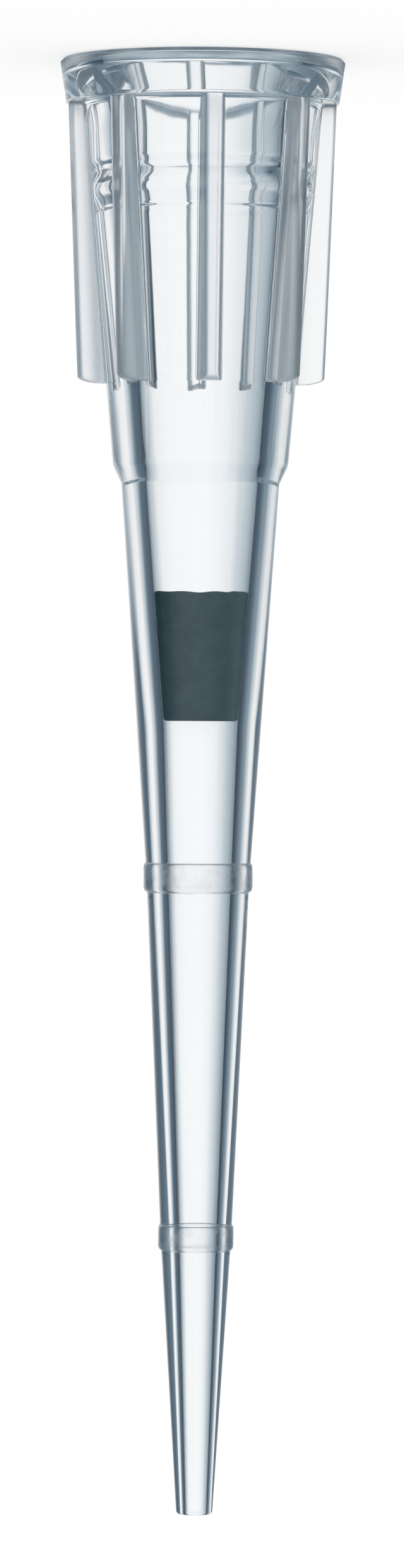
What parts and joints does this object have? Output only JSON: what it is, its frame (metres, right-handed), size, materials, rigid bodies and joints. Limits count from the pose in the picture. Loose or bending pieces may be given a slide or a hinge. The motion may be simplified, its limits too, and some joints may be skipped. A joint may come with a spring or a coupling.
{
  "type": "pipette tip",
  "caption": "Clear conical filter tip for a small-volume pipette: flanged rim, finned socket, shoulder, raised volume marks and a porous plug in its tapered bore.",
  "frame": {"origin": "centre of the rim face, which the tip stands on", "axes": "+Z along the bore's axis, from the rim towards the narrow end; the fins stand round it, one of them 5 degrees from -Y on the -X side"},
  "size_m": [0.0062, 0.0062, 0.032],
  "materials": {
    "clear_plastic": "clear moulded polypropylene, glossy, slightly cool in tint",
    "porous_plug": "sintered porous polyethylene, matte, slate grey"
  },
  "bodies": {
    "root": {"tip_body": "clear_plastic", "filter_plug": "porous_plug"}
  },
  "joints": []
}
